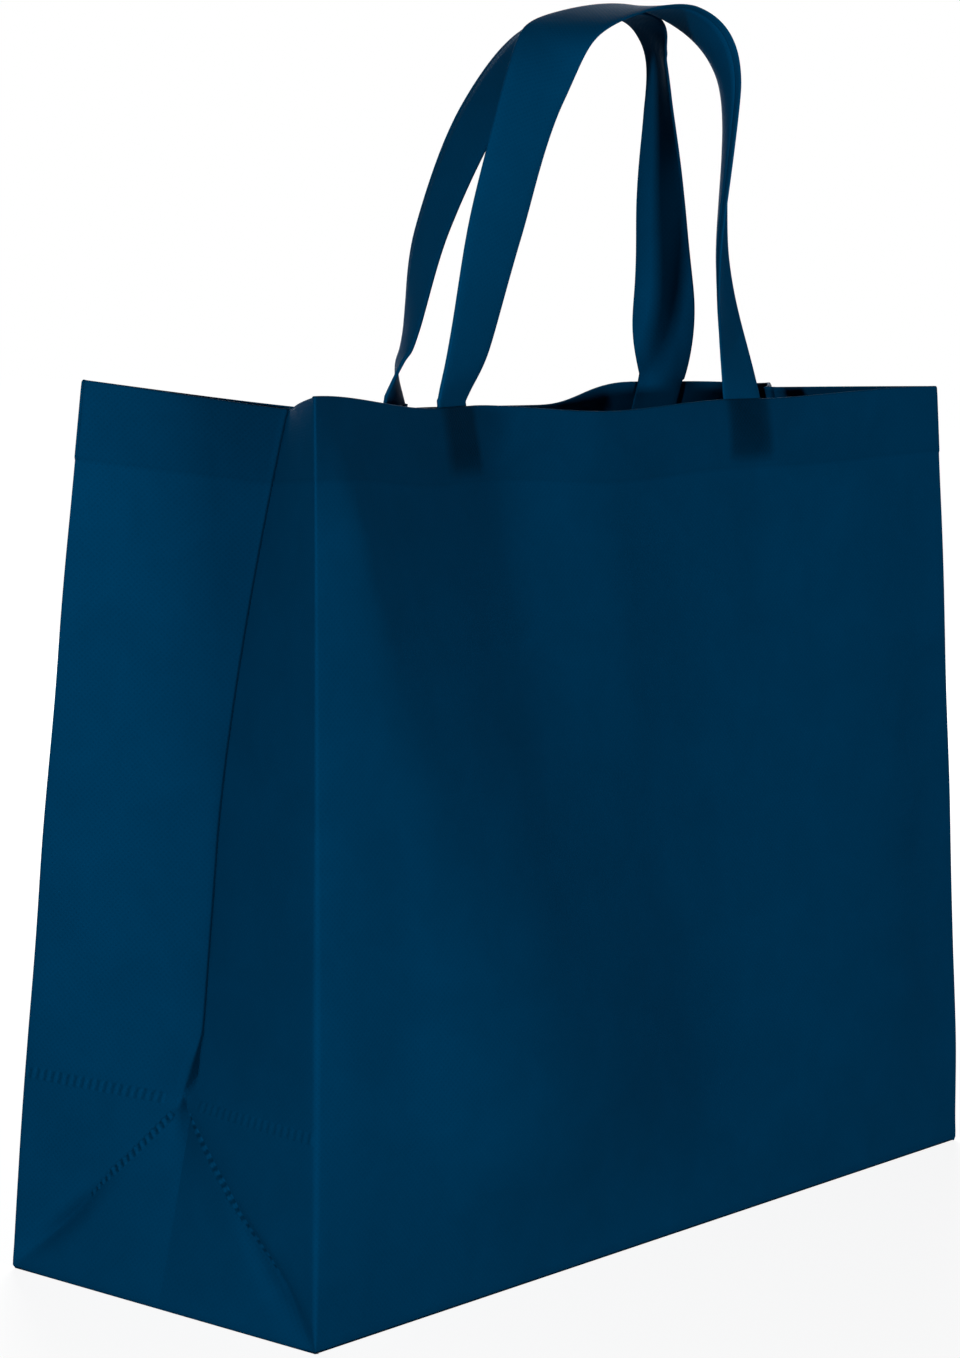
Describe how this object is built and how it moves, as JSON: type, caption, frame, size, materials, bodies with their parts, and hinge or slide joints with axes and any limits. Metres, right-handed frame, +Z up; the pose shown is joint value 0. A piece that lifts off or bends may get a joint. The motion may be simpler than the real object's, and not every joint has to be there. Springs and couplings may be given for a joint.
{
  "type": "carrier bag",
  "caption": "Navy non-woven cloth carrier bag with a flat base, folded-in sides, a hemmed mouth and strip handles welded inside the hem.",
  "frame": {"origin": "centre of the base's underside, on the surface that the bag stands on", "axes": "+Z up, +X along the front from its left end to its right end, the front faces -Y"},
  "size_m": [0.45, 0.16, 0.5084],
  "materials": {
    "web": "point-bonded non-woven polypropylene, matte with a faint sheen",
    "strip": "the same cloth folded in three"
  },
  "bodies": {
    "root": {"bag_body": "web", "front_handle": "strip", "rear_handle": "strip"}
  },
  "joints": []
}
